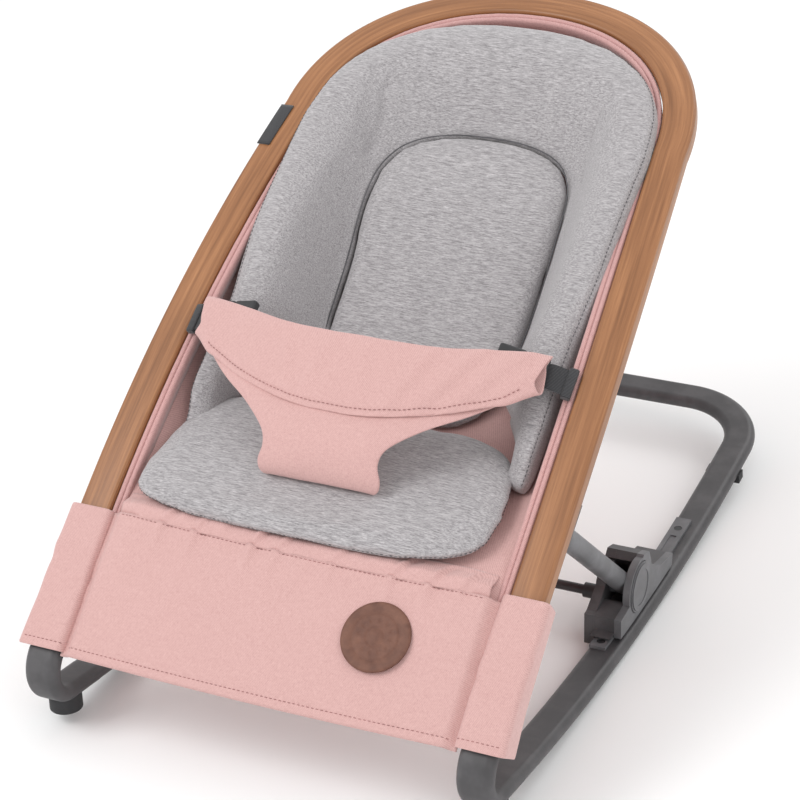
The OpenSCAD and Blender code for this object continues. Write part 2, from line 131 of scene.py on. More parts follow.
def signed_power(value, power):
    return math.copysign(abs(value) ** power, value)


def wobble(*place):
    """Smooth noise at a place, about -1 to 1."""
    return noise.noise(Vector(place))


def ease(t):
    """A smooth step from 0 to 1."""
    t = min(max(t, 0.0), 1.0)
    return t * t * (3 - 2 * t)


def bump_at(t, centre, width):
    return math.exp(-((t - centre) / width) ** 2)


# Side lines of the sling and of the seat pad's top: distance up the hoop, height
SLING_LINE = [(112, 1), (126, 6), (160, -9), (200, -26), (250, -48), (286, -63), (330, -84),
              (370, -93), (440, -86), (520, -65), (600, -51), (680, -32), (738, -16)]
PAD_LINE = [(122, 24), (127, 28), (160, 13), (200, -4), (250, -26), (284, -41)]


# ---------------------------------------------------------------- meshes
def placed(name, data):
    """A new object in the scene."""
    piece = bpy.data.objects.new(name, data)
    bpy.context.scene.collection.objects.link(piece)
    return piece


def shade_smooth(mesh):
    for p in mesh.polygons:
        p.use_smooth = True


def new_piece(name, verts, faces, uvs=None):
    mesh = bpy.data.meshes.new(name)
    mesh.from_pydata([tuple(v) for v in verts], [], faces)
    mesh.validate()
    if uvs:
        layer = mesh.uv_layers.new(name="UVMap")
        for loop in mesh.loops:
            layer.data[loop.index].uv = uvs[loop.vertex_index]
    shade_smooth(mesh)
    mesh.update()
    return placed(name, mesh)


def loft(name, rows, around=False, caps=False):
    """A skin over rows of points, closed round each row if around is set, with UVs in metres."""
    n = len(rows[0])
    verts = [p for row in rows for p in row]
    uvs, u = [], 0.0
    for i, row in enumerate(rows):
        if i:
            u += sum((row[j] - rows[i - 1][j]).length for j in range(n)) / n
        v = 0.0
        for j, p in enumerate(row):
            if j:
                v += (p - row[j - 1]).length
            uvs.append((u, v))
    faces = []
    for i in range(len(rows) - 1):
        for j in range(n if around else n - 1):
            k = (j + 1) % n
            faces.append((i * n + j, i * n + k, (i + 1) * n + k, (i + 1) * n + j))
    if caps:
        faces.append(tuple(reversed(range(n))))
        faces.append(tuple((len(rows) - 1) * n + j for j in range(n)))
    piece = new_piece(name, verts, faces, uvs)
    out_facing(piece)
    return piece


def out_facing(piece):
    b = bmesh.new()
    b.from_mesh(piece.data)
    bmesh.ops.recalc_face_normals(b, faces=b.faces)
    b.to_mesh(piece.data)
    b.free()


def modifier(piece, kind, **values):
    m = piece.modifiers.new(kind.lower(), kind)
    for k, v in values.items():
        setattr(m, k, v)
    return m


def applied(piece):
    """Applies every modifier on the piece."""
    graph = bpy.context.evaluated_depsgraph_get()
    mesh = bpy.data.meshes.new_from_object(piece.evaluated_get(graph))
    piece.modifiers.clear()
    piece.data = mesh
    shade_smooth(mesh)


def rounded_loop(w, h, r, n=5, cx=0.0, cy=0.0):
    """Points round a rounded rectangle, w wide and h high."""
    out = []
    for k, (sx, sy) in enumerate(((1, 1), (-1, 1), (-1, -1), (1, -1))):
        for i in range(n + 1):
            a = math.pi / 2 * (k + i / n)
            out.append((cx + sx * (w / 2 - r) + r * math.cos(a), cy + sy * (h / 2 - r) + r * math.sin(a)))
    return out


def tube(name, path, radius, sides):
    """A round tube along a path of points in metres, closed at its ends."""
    rows = []
    up = Vector((0, 0, 1))
    for i, p in enumerate(path):
        ahead = (path[min(i + 1, len(path) - 1)] - path[max(i - 1, 0)]).normalized()
        side = ahead.cross(up)
        side = side.normalized() if side.length > 0.01 else Vector((1, 0, 0))
        other = side.cross(ahead)
        rows.append([p + (side * math.cos(a) + other * math.sin(a)) * radius
                     for a in (2 * math.pi * k / sides for k in range(sides))])
    return loft(name, rows, around=True, caps=True)


def joined(name, parts):
    """Joins pieces into one."""
    b = bmesh.new()
    for p in parts:
        mesh = p.data.copy()
        mesh.transform(p.matrix_world)
        b.from_mesh(mesh)
        bpy.data.objects.remove(p)
    mesh = bpy.data.meshes.new(name)
    b.to_mesh(mesh)
    b.free()
    return placed(name, mesh)


def rounded_box(name, size, centre, radius, frame_matrix):
    """A box with rounded edges, in millimetres in the given frame."""
    b = bmesh.new()
    bmesh.ops.create_cube(b, size=1)
    for v in b.verts:
        v.co = Vector([(v.co[i] * size[i] + centre[i]) * MM for i in range(3)])
    bmesh.ops.bevel(b, geom=list(b.edges), offset=radius * MM, segments=3, profile=0.5, affect="EDGES")
    mesh = bpy.data.meshes.new(name)
    b.to_mesh(mesh)
    b.free()
    mesh.transform(frame_matrix)
    shade_smooth(mesh)
    return placed(name, mesh)


# ---------------------------------------------------------------- padded fabric
SETTLE_FRAMES = 16
WELD_GAP = 0.2 * MM
SEAM_REACH = 30 * MM      # how far a seam's point may lie from the surface


def inflate(piece, voxel, pressure, cap):
    """Remeshes the piece and lets pressure fill it as cloth, moving no point further than cap."""
    modifier(piece, "REMESH", mode="VOXEL", voxel_size=voxel * MM)
    applied(piece)
    rest = [v.co.copy() for v in piece.data.vertices]
    cloth = modifier(piece, "CLOTH").settings
    cloth.quality = 4
    cloth.mass = 0.3
    cloth.tension_stiffness = cloth.compression_stiffness = 12
    cloth.shear_stiffness = 6
    cloth.bending_stiffness = 0.6
    cloth.use_pressure = True
    cloth.uniform_pressure_force = pressure
    cloth.effector_weights.gravity = 0
    for f in range(1, SETTLE_FRAMES + 1):
        bpy.context.scene.frame_set(f)
    applied(piece)
    bpy.context.scene.frame_set(1)
    for v, p in zip(piece.data.vertices, rest):
        move = v.co - p
        if move.length > cap * MM:
            v.co = p + move.normalized() * cap * MM
    relax(piece, 3)


def welded(piece):
    """Merges points that lie on each other."""
    b = bmesh.new()
    b.from_mesh(piece.data)
    bmesh.ops.remove_doubles(b, verts=b.verts, dist=WELD_GAP)
    b.to_mesh(piece.data)
    b.free()


def relax(piece, times):
    """Evens out the surface."""
    b = bmesh.new()
    b.from_mesh(piece.data)
    for _ in range(times):
        bmesh.ops.smooth_vert(b, verts=b.verts, factor=0.5, use_axis_x=True, use_axis_y=True, use_axis_z=True)
    b.to_mesh(piece.data)
    b.free()
    shade_smooth(piece.data)


def subdivided(piece):
    modifier(piece, "SUBSURF", levels=1, render_levels=1)
    applied(piece)


def on_surface(piece, points):
    """Each point moved to the nearest place on the piece, with the normal there."""
    tree = BVHTree.FromPolygons([v.co for v in piece.data.vertices],
                                [tuple(p.vertices) for p in piece.data.polygons])
    out = []
    for p in points:
        hit, normal, _, _ = tree.find_nearest(p, SEAM_REACH)
        if hit is not None:
            out.append((hit, normal))
    return out


def groove(piece, points, depth, width):
    """Presses a seam into the piece along a line of points."""
    seam = on_surface(piece, points)
    tree = KDTree(len(seam))
    for i, (p, _) in enumerate(seam):
        tree.insert(p, i)
    tree.balance()
    for v in piece.data.vertices:
        _, i, gap = tree.find(v.co)
        if gap < 3 * width * MM:
            v.co -= seam[i][1] * depth * MM * math.exp(-(gap / (width * MM)) ** 2)
    return seam


STITCH_LENGTH, STITCH_STEP, STITCH_SIDES = 2.6, 4.2, 6
STITCH_SHAPE = ((-0.5, 0.35), (-0.3, 1.0), (0.3, 1.0), (0.5, 0.35))     # share of length, share of radius


def stitches(name, seam, radius, lift=0.1):
    """A row of thread stitches along a seam, given as points with normals."""
    n_sides, n_rings = STITCH_SIDES, len(STITCH_SHAPE)
    walked, next_at = 0.0, 0.0
    verts, faces = [], []
    for (p, n), (q, _) in zip(seam, seam[1:]):
        gap = (q - p).length
        if gap < 1e-7:
            continue
        ahead = (q - p) / gap
        while next_at <= walked + gap:
            centre = p + ahead * (next_at - walked) + n * lift * MM
            side = ahead.cross(n).normalized()
            base = len(verts)
            for k, w in STITCH_SHAPE:
                for a in range(n_sides):
                    angle = 2 * math.pi * a / n_sides
                    verts.append(centre + ahead * k * STITCH_LENGTH * MM
                                 + (side * math.cos(angle) + n * math.sin(angle)) * radius * w * MM)
            for r in range(n_rings - 1):
                low = base + r * n_sides
                high = low + n_sides
                for a in range(n_sides):
                    b = (a + 1) % n_sides
                    faces.append((low + a, low + b, high + b, high + a))
            faces.append(tuple(base + a for a in reversed(range(n_sides))))
            faces.append(tuple(base + (n_rings - 1) * n_sides + a for a in range(n_sides)))
            next_at += STITCH_STEP * MM
        walked += gap
    return new_piece(name, verts, faces)


# ---------------------------------------------------------------- materials
class Paint:
    """A procedural material on one Principled shader."""

    def __init__(self, name, **sockets):
        self.material = bpy.data.materials.new(name)
        self.material.use_nodes = True
        self.tree = self.material.node_tree
        self.shader = self.tree.nodes["Principled BSDF"]
        for k, v in sockets.items():
            self.shader.inputs[k.replace("_", " ")].default_value = v

    def node(self, kind, inputs=None, **values):
        n = self.tree.nodes.new("ShaderNode" + kind)
        for k, v in values.items():
            setattr(n, k, v)
        for k, v in (inputs or {}).items():
            if isinstance(v, bpy.types.NodeSocket):
                self.tree.links.new(v, n.inputs[k])
            else:
                n.inputs[k].default_value = v
        return n

    def place(self, source, scale, turn=(0, 0, 0)):
        """Coordinates in metres, times scale, in a frame turned by turn."""
        coordinates = self.node("TexCoord").outputs[source]
        if any(turn):
            coordinates = self.node("Mapping", {"Vector": coordinates, "Rotation": turn}).outputs["Vector"]
        return self.node("Mapping", {"Vector": coordinates, "Scale": scale}).outputs["Vector"]

    def cloud(self, where, detail=3.0, rough=0.6):
        """Noise with features about as large as one unit of where."""
        inputs = {"Vector": where, "Scale": 1.0, "Detail": detail, "Roughness": rough}
        return self.node("TexNoise", inputs).outputs["Fac"]

    def ramp(self, fac, *stops):
        """Colours by place: the first stop, the last one, then any between them."""
        r = self.node("ValToRGB", {"Fac": fac})
        for i, (at_place, colour) in enumerate(stops):
            e = r.color_ramp.elements[i] if i < 2 else r.color_ramp.elements.new(at_place)
            e.position, e.color = at_place, (*colour, 1)
        return r.outputs["Color"]

    def mix(self, fac, a, b):
        m = self.node("Mix", data_type="RGBA", blend_type="MIX")
        for k, v in ((0, fac), (6, a), (7, b)):
            if isinstance(v, bpy.types.NodeSocket):
                self.tree.links.new(v, m.inputs[k])
            else:
                m.inputs[k].default_value = v if k == 0 else (*v, 1)
        return m.outputs[2]

    def math(self, operation, a, b=0.0):
        m = self.node("Math", operation=operation)
        for k, v in ((0, a), (1, b)):
            if isinstance(v, bpy.types.NodeSocket):
                self.tree.links.new(v, m.inputs[k])
            else:
                m.inputs[k].default_value = v
        return m.outputs["Value"]

    def finish(self, colour, height, distance, strength, rough=None):
        """Links colour, roughness and a bump, whose distance is in millimetres."""
        self.tree.links.new(colour, self.shader.inputs["Base Color"])
        if rough is not None:
            self.tree.links.new(rough, self.shader.inputs["Roughness"])
        b = self.node("Bump", {"Height": height, "Distance": distance * MM, "Strength": strength})
        self.tree.links.new(b.outputs["Normal"], self.shader.inputs["Normal"])
        return self.material


SEAT_TURN = (-math.radians(34), 0, 0)     # the seat's mean slope, so Y runs up the seat


def melange(name):
    """Grey marled jersey: short streaks of light and dark yarn across the seat."""
    p = Paint(name, Roughness=0.92, Sheen_Weight=0.35, Sheen_Roughness=0.5, Specular_IOR_Level=0.2)
    streaks = p.cloud(p.place("Object", (110, 950, 950), SEAT_TURN), detail=4, rough=0.7)
    yarn = p.cloud(p.place("Object", (420, 1700, 1700), SEAT_TURN), detail=2)
    broad = p.cloud(p.place("Object", (14, 40, 40), SEAT_TURN), detail=2)
    both = p.math("ADD", p.math("MULTIPLY", streaks, 0.7), p.math("MULTIPLY", yarn, 0.3))
    colour = p.ramp(both, (0.36, (0.185, 0.172, 0.178)), (0.64, (0.560, 0.535, 0.545)),
                    (0.5, (0.355, 0.338, 0.345)))
    colour = p.mix(p.math("MULTIPLY", broad, 0.16), colour, (0.44, 0.42, 0.43))
    return p.finish(colour, both, distance=0.5, strength=0.45)


def canvas(name, base, light, dark, pitch=0.9):
    """Woven cotton canvas in one colour, with the weave's rows both ways."""
    p = Paint(name, Roughness=0.85, Sheen_Weight=0.3, Sheen_Roughness=0.45, Specular_IOR_Level=0.25)
    rate = 1000 / pitch
    where = p.place("Object", (rate, rate, rate), SEAT_TURN)
    warp = p.node("TexWave", {"Vector": where, "Scale": 0.314, "Distortion": 1.2, "Detail": 2.0},
                  bands_direction="DIAGONAL").outputs["Fac"]
    slubs = p.cloud(p.place("Object", (300, 1400, 1400), SEAT_TURN), detail=3, rough=0.7)
    grains = p.cloud(p.place("Object", (1300, 420, 420), SEAT_TURN), detail=2)
    broad = p.cloud(p.place("Object", (22, 22, 22)), detail=3)
    yarns = p.math("MULTIPLY", p.math("ADD", slubs, grains), 0.4)
    weave = p.math("ADD", p.math("MULTIPLY", warp, 0.2), yarns)
    colour = p.ramp(weave, (0.28, dark), (0.72, light), (0.5, base))
    colour = p.mix(p.math("MULTIPLY", broad, 0.18), colour, light)
    return p.finish(colour, weave, distance=0.45, strength=0.4)


def wood_grain(name):
    """Oiled bentwood: long grain along the bar, with fine dark pores and slow changes of tone."""
    p = Paint(name, Roughness=0.42, Specular_IOR_Level=0.4, Coat_Weight=0.18, Coat_Roughness=0.3)
    fibres = p.cloud(p.place("UV", (9, 330, 1)), detail=5, rough=0.62)
    bands = p.cloud(p.place("UV", (3.2, 75, 1)), detail=3, rough=0.5)
    pores = p.cloud(p.place("UV", (70, 2300, 1)), detail=2, rough=0.7)
    tone = p.math("ADD", p.math("MULTIPLY", fibres, 0.55), p.math("MULTIPLY", bands, 0.45))
    colour = p.ramp(tone, (0.34, (0.200, 0.080, 0.030)), (0.66, (0.445, 0.205, 0.088)),
                    (0.5, (0.310, 0.134, 0.054)))
    dark = p.ramp(pores, (0.28, (1, 1, 1)), (0.40, (0, 0, 0)))
    colour = p.mix(p.math("MULTIPLY", dark, 0.35), colour, (0.12, 0.042, 0.018))
    height = p.math("SUBTRACT", fibres, p.math("MULTIPLY", dark, 0.5))
    return p.finish(colour, height, distance=0.12, strength=0.35,
                    rough=p.math("ADD", p.math("MULTIPLY", fibres, 0.25), 0.30))


def moulded(name, colour, rough, grain=0.35):
    """Moulded plastic or powder coat: a fine even grain, with slow changes of sheen."""
    p = Paint(name, Specular_IOR_Level=0.45)
    fine = p.cloud(p.place("Object", (1500, 1500, 1500)), detail=2)
    slow = p.cloud(p.place("Object", (35, 35, 35)), detail=3)
    light = tuple(min(1.0, c * 1.25 + 0.004) for c in colour)
    dark = tuple(c * 0.82 for c in colour)
    shade = p.ramp(slow, (0.35, dark), (0.65, light), (0.5, colour))
    return p.finish(shade, fine, distance=0.06, strength=grain,
                    rough=p.math("ADD", p.math("MULTIPLY", slow, 0.16), rough - 0.08))


def brushed(name):
    """Brushed steel, with fine lines."""
    p = Paint(name, Metallic=1.0)
    lines = p.cloud(p.place("Object", (2600, 120, 120)), detail=3)
    return p.finish(p.ramp(lines, (0.3, (0.42, 0.43, 0.45)), (0.7, (0.68, 0.69, 0.71))), lines,
                    distance=0.03, strength=0.3, rough=p.math("ADD", p.math("MULTIPLY", lines, 0.2), 0.25))


def webbing(name, colour, light):
    """Ribbed narrow webbing."""
    p = Paint(name, Roughness=0.7, Sheen_Weight=0.2, Specular_IOR_Level=0.3)
    ribs = p.node("TexWave", {"Vector": p.place("Object", (1000, 1000, 1000), SEAT_TURN), "Scale": 0.25,
                              "Distortion": 0.6}, bands_direction="Y").outputs["Fac"]
    yarn = p.cloud(p.place("Object", (1300, 900, 900), SEAT_TURN), detail=2)
    both = p.math("ADD", p.math("MULTIPLY", ribs, 0.6), p.math("MULTIPLY", yarn, 0.4))
    return p.finish(p.ramp(both, (0.3, colour), (0.75, light)), both, distance=0.4, strength=0.6)


def hide(name):
    """Brown leather with fine pebble grain."""
    p = Paint(name, Specular_IOR_Level=0.35)
    cells = p.node("TexVoronoi", {"Vector": p.place("Object", (900, 900, 900)), "Scale": 1.0},
                   feature="DISTANCE_TO_EDGE").outputs["Distance"]
    slow = p.cloud(p.place("Object", (90, 90, 90)), detail=4)
    colour = p.ramp(slow, (0.3, (0.120, 0.050, 0.034)), (0.7, (0.200, 0.092, 0.062)))
    return p.finish(colour, p.math("MINIMUM", cells, 0.3), distance=0.25, strength=0.5,
                    rough=p.math("ADD", p.math("MULTIPLY", slow, 0.2), 0.5))


GREY = melange("marled_jersey")
PINK = canvas("pink_canvas", (0.590, 0.360, 0.340), (0.690, 0.450, 0.425), (0.460, 0.255, 0.240))
PINK_PIPING = canvas("pink_piping", (0.560, 0.320, 0.305), (0.690, 0.430, 0.410), (0.410, 0.210, 0.205), 0.8)
WOOD = wood_grain("bentwood")
TUBE = moulded("powder_coat", (0.058, 0.055, 0.058), 0.42, 0.25)
PLASTIC_DARK = moulded("dark_plastic", (0.066, 0.063, 0.066), 0.50)
PLASTIC_GREY = moulded("grey_plastic", (0.135, 0.135, 0.142), 0.48)
PLASTIC_BLACK = moulded("black_plastic", (0.030, 0.030, 0.032), 0.42)
RUBBER = moulded("rubber", (0.026, 0.026, 0.028), 0.72, 0.5)
ROD = moulded("dark_rod", (0.028, 0.022, 0.024), 0.35, 0.15)
STEEL = brushed("brushed_steel")
WEB = webbing("black_webbing", (0.016, 0.016, 0.018), (0.075, 0.075, 0.08))
LEATHER = hide("leather")
THREAD_GREY = moulded("grey_thread", (0.105, 0.102, 0.108), 0.8)
THREAD_PINK = moulded("pink_thread", (0.300, 0.135, 0.130), 0.8)

BY_SLOT = {"tube": TUBE, "plastic_dark": PLASTIC_DARK, "plastic_grey": PLASTIC_GREY, "rubber": RUBBER,
           "steel": STEEL, "rod": ROD, "wood": WOOD, "pink_fabric": PINK, "grey_fabric": GREY,
           "webbing": WEB, "plastic_black": PLASTIC_BLACK, "leather": LEATHER}
for part in frame["record"]["subparts"]:
    node = frame["nodes"][part["node"]]
    node.data.materials.clear()
    node.data.materials.append(BY_SLOT[part["material_slot"]])


def give(piece, material, body="seat"):
    """Gives a piece its material and the body it rides on."""
    piece.data.materials.clear()
    piece.data.materials.append(material)
    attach(piece, body)


# ---------------------------------------------------------------- wooden hoop
FINE = (60, 44)        # steps of a fine rim along its side and over its top


def make_hoop():
    """The bent bar, from its right fitting over the top to the left one."""
    section = rounded_loop(BAR_W, BAR_T, 3.2, 5, BAR_W / 2, -BAR_T / 2)
    rims = [rim(e, WOOD_S, *FINE) for e, _ in section]
    rows = [[at(*rims[k][i], d) for k, (_, d) in enumerate(section)] for i in range(len(rims[0]))]
    piece = loft("bentwood_hoop", rows, around=True, caps=True)
    give(piece, WOOD)
    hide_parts("hoop")


# ---------------------------------------------------------------- sling and piping
def make_sling():
    """The pink cover under the pads: a trough that hangs from the hoop's inner edge."""
    shares = (0, 0.012, 0.03, 0.055, 0.09, 0.14, 0.2, 0.28, 0.38, 0.5, 0.64, 0.8, 1)
    edge_e, edge_d, foot_s = BAR_W + 4, -9, 112
    rows = []
    for share in shares:
        row = []
        for x, s in rim(edge_e, foot_s, squeeze=1 - share):
            floor = line_at(SLING_LINE, s) - 1
            depth = 1 - (1 - min(share / 0.2, 1)) ** 2.4
            ripple = 1.1 * wobble(x * 0.012, s * 0.035, 3.0) * math.sin(math.pi * min(share / 0.3, 1))
            row.append(at(x, s, edge_d + (floor - edge_d) * depth + ripple))
        rows.append(row)
    piece = loft("sling_cover", rows)
    welded(piece)
    modifier(piece, "SOLIDIFY", thickness=1.4 * MM, offset=0)
    subdivided(piece)
    give(piece, PINK)
    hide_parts("sling")


def make_piping():
    """Double welt round the hoop's inner edge, with a stitch line in its valley."""
    outer, radius, roll_d, low_d = BAR_W + 0.8, 2.6, -4.6, -14
    foot_s, first_stitch_s = 118, 126
    centres = (outer + radius, outer + 3 * radius - 0.5)
    section = [(outer + 0.4, low_d)]
    for k, c in enumerate(centres):
        for i in range(7):
            a = math.pi * (1 - i / 6)
            section.append((c + radius * math.cos(a) * 0.98, roll_d + radius * math.sin(a) - 0.4 * k))
    section.append((centres[1] + radius - 0.4, low_d))
    rims = [rim(e, foot_s, *FINE) for e, _ in section]
    rows = [[at(*rims[k][i], d + 0.25 * wobble(i * 0.9, k * 0.2, 1)) for k, (_, d) in enumerate(section)]
            for i in range(len(rims[0]))]
    piece = loft("double_piping", rows, around=True, caps=True)
    give(piece, PINK_PIPING)
    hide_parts("piping")
    valley = rim((centres[0] + centres[1]) / 2, first_stitch_s, *FINE)
    seam = [(at(x, s, roll_d + 0.7), hoop_matrix(x, s).to_3x3().col[2].normalized()) for x, s in valley]
    give(stitches("piping_stitches", seam, radius=0.4), THREAD_PINK)


# ---------------------------------------------------------------- pads
INSERT_HALF = [(0, 289), (58, 292), (80, 312), (90, 350), (94, 389), (96, 445), (97, 502), (95, 535),
               (87, 557), (75, 572), (56, 583), (30, 590), (0, 592)]
INSERT_MIDDLE_S = 441
PAD_HALF_W = 167
PAD_FOOT_S, PAD_CAP_S, PAD_TOP_S, PAD_POWER = 226, 560, 705, 2.35
BACK_LINE = [(286, -47), (330, -62), (370, -67), (440, -58), (512, -37), (600, -25)]
CREST_LINE = [(220, -3), (300, 1), (345, 2.5), (390, 8), (450, 14), (545, 17), (620, 17), (700, 15)]


def insert_depth(x, s):
    """Height of the middle of the back: it follows the sling and hollows towards the centre."""
    return line_at(BACK_LINE, s) - 5 * (1 - (x / 125) ** 2)


def outer_edge(t):
    """The back cushion's outer edge, t from 0 at the right front end over the top to 1 at the left one."""
    side, cap = PAD_CAP_S - PAD_FOOT_S, 330
    along = abs(t - 0.5) * 2 * (side + cap / 2)
    sign = 1 if t < 0.5 else -1
    if along > cap / 2:
        s = PAD_CAP_S - (along - cap / 2)
        return sign * (PAD_HALF_W - 3 + 5 * ease((s - 330) / 120)), s
    a = math.pi / 2 * (1 - along / (cap / 2))
    x = PAD_HALF_W * math.cos(a) ** (2 / PAD_POWER)
    return sign * x, PAD_CAP_S + (PAD_TOP_S - PAD_CAP_S) * math.sin(a) ** (2 / PAD_POWER)


def crest(s):
    """Height of the bolster's crest: low beside the harness, high beside the head."""
    return line_at(CREST_LINE, s)


def inner_edge(t):
    """The seam of the bolster with the insert, matched to the outer edge."""
    half = [(141, 232), (136, 262), (116, 300)] + INSERT_HALF[3:]
    line = smooth_path(half, 8)
    lengths = [0.0]
    for a, b in zip(line, line[1:]):
        lengths.append(lengths[-1] + math.dist(a, b))
    want = (1 - abs(t - 0.5) * 2) * lengths[-1]
    k = max(i for i in range(len(line)) if lengths[i] <= want + 1e-9)
    x, s = line[-1]
    if k < len(line) - 1:
        f = (want - lengths[k]) / (lengths[k + 1] - lengths[k])
        x = line[k][0] + f * (line[k + 1][0] - line[k][0])
        s = line[k][1] + f * (line[k + 1][1] - line[k][1])
    return (x if t < 0.5 else -x), s


def over_bolster(t, u):
    """The place at u of the way from the bolster's inner edge to its outer one."""
    (xa, sa), (xb, sb) = inner_edge(t), outer_edge(t)
    return xa + (xb - xa) * u, sa + (sb - sa) * u


# share of the way outwards, share of the crest's height
BOLSTER_PROFILE = [(0, 0.0), (0.09, 0.05), (0.26, 0.36), (0.46, 0.72), (0.66, 0.94), (0.82, 1.0),
                   (0.93, 0.97), (1.0, 0.88)]
CREASE = [(92, 548), (98, 572), (108, 600), (114, 625)]


def make_back_cushion():
    """The back cushion: a bolster round the insert, with a seam along its outer edge."""
    rows = []
    for t in spread(0, 1, 96):
        (xa, sa), (_, sb) = inner_edge(t), outer_edge(t)
        top = crest(sb)
        end = ease(min(t, 1 - t) / 0.035)
        low_in = insert_depth(xa, sa) - 3 if sa > 300 else line_at(PAD_LINE, sa) - 6
        row = []
        for u, h in smooth_path(BOLSTER_PROFILE, 3):
            row.append(at(*over_bolster(t, u), low_in + (top - low_in) * h * (0.55 + 0.45 * end) - 2))
        for u, drop in ((1.0, 30), (0.7, 44)):
            x, s = over_bolster(t, u)
            row.append(at(x, s, max(top - drop, line_at(SLING_LINE, s) + 2)))
        for u in (0.3, 0.0):
            x, s = over_bolster(t, u)
            sling_d = line_at(SLING_LINE, s)
            under = min(max(low_in - 14, sling_d + 3), low_in - 4)
            row.append(at(x, s, max(under, sling_d + 2)))
        rows.append(row)
    piece = loft("back_cushion_cover", rows, around=True, caps=True)
    inflate(piece, voxel=4.6, pressure=3.0, cap=5)
    subdivided(piece)
    edge = [at(*over_bolster(t, 1.02), crest(outer_edge(t)[1]) - 7) for t in spread(0, 1, 240)]
    seam = groove(piece, edge, 1.1, 1.8)
    for side in (-1, 1):
        groove(piece, [at(side * x, s, -14) for x, s in smooth_path(CREASE, 6)], 2.2, 6)
    give(piece, GREY)
    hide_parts("back_cushion")
    give(stitches("back_cushion_stitches", seam, radius=0.38, lift=-0.05), THREAD_GREY)


def make_insert():
    """The flat middle of the back, with a dark seam where it meets the bolster."""
    outline = smooth_path(INSERT_HALF, 5)
    outline = outline + [(-x, s) for x, s in reversed(outline[1:-1])]
    rows = []
    for share, lift in ((0.04, -13), (0.25, -13), (0.5, -13), (0.75, -13), (0.92, -13), (1.0, -12),
                        (1.0, -5), (0.99, -0.4), (0.95, 1.8), (0.87, 3.0), (0.72, 3.8), (0.5, 4.2),
                        (0.25, 4.4), (0.04, 4.5)):
        ring = [(x * share, INSERT_MIDDLE_S + (s - INSERT_MIDDLE_S) * share) for x, s in outline]
        rows.append([at(x, s, insert_depth(x, s) + lift) for x, s in ring])
    piece = loft("back_insert_cover", rows, around=True, caps=True)
    inflate(piece, voxel=4.6, pressure=2.0, cap=3)
    subdivided(piece)
    give(piece, GREY)
    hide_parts("body_insert")
    seam = [at(x, s, insert_depth(x, s) + 0.5) for x, s in smooth_path(INSERT_HALF[3:], 6)]
    mirrored = [Vector((-p.x, p.y, p.z)) for p in reversed(seam[:-1])]
    line = tube("insert_seam", seam + mirrored, 0.65 * MM, 6)
    give(line, THREAD_GREY)


SEAT_MIDDLE_S, SEAT_HALF_LEN, SEAT_HALF_W, SEAT_SHIFT = 205, 78, 166, -7


def pad_outline(inset):
    """The seat pad's outline moved inwards: bowed in front, and narrower at the back."""
    steps = 112
    out = []
    for k in range(steps):
        a = 2 * math.pi * (k + 0.5) / steps
        power = 0.42 + 0.07 * math.cos(a)
        u, v = signed_power(math.cos(a), power), signed_power(math.sin(a), power)
        s = SEAT_MIDDLE_S + (SEAT_HALF_LEN - inset * 0.96) * v
        width = SEAT_HALF_W - 13 * ease((s - 190) / 80) - inset
        if v < 0:
            s += 8 * u * u * abs(v) ** 3
        out.append((width * u + SEAT_SHIFT, s))
    return out


def make_seat_pad():
    """The seat pad: a crowned pad with a seam round its lower edge."""
    rows = []
    for inset, lift in ((78, -17), (60, -17), (36, -17), (18, -16.5), (9, -15), (2.5, -12.5), (0, -9),
                        (0.8, -5), (4.5, -1.8), (14, 0.3), (36, 1.4), (60, 1.9), (78, 2.0)):
        rows.append([at(x, s, line_at(PAD_LINE, s) + lift - 1.5) for x, s in pad_outline(inset)])
    piece = loft("seat_pad_cover", rows, around=True, caps=True)
    inflate(piece, voxel=4.4, pressure=3.0, cap=4)
    subdivided(piece)
    ring = [at(x, s, line_at(PAD_LINE, s) - 11.5) for x, s in pad_outline(-1)]
    ring.append(ring[0])
    seam = groove(piece, ring, 0.9, 1.6)
    give(piece, GREY)
    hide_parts("seat_cushion")
    give(stitches("seat_pad_stitches", seam, radius=0.36, lift=-0.05), THREAD_GREY)


# ---------------------------------------------------------------- front panel and sleeves
PANEL_HALF_W, SEAM_HALF_W = 182, 172


def seam_s(x):
    """Where the panel's top seam crosses the hoop's legs, bowed and slightly askew."""
    return 120 + 3 * (x / SEAM_HALF_W) ** 2 - 0.016 * x


def hem_s(x):
    """The panel's lower edge."""
    return -6 - 2.5 * (1 - (x / PANEL_HALF_W) ** 2)


# place across and size of each pleat
PLEATS = [(-128, 0.9), (-96, 1.0), (-41, 1.2), (-18, 0.8), (34, 0.7), (88, 1.0), (121, 1.1), (148, 0.8)]


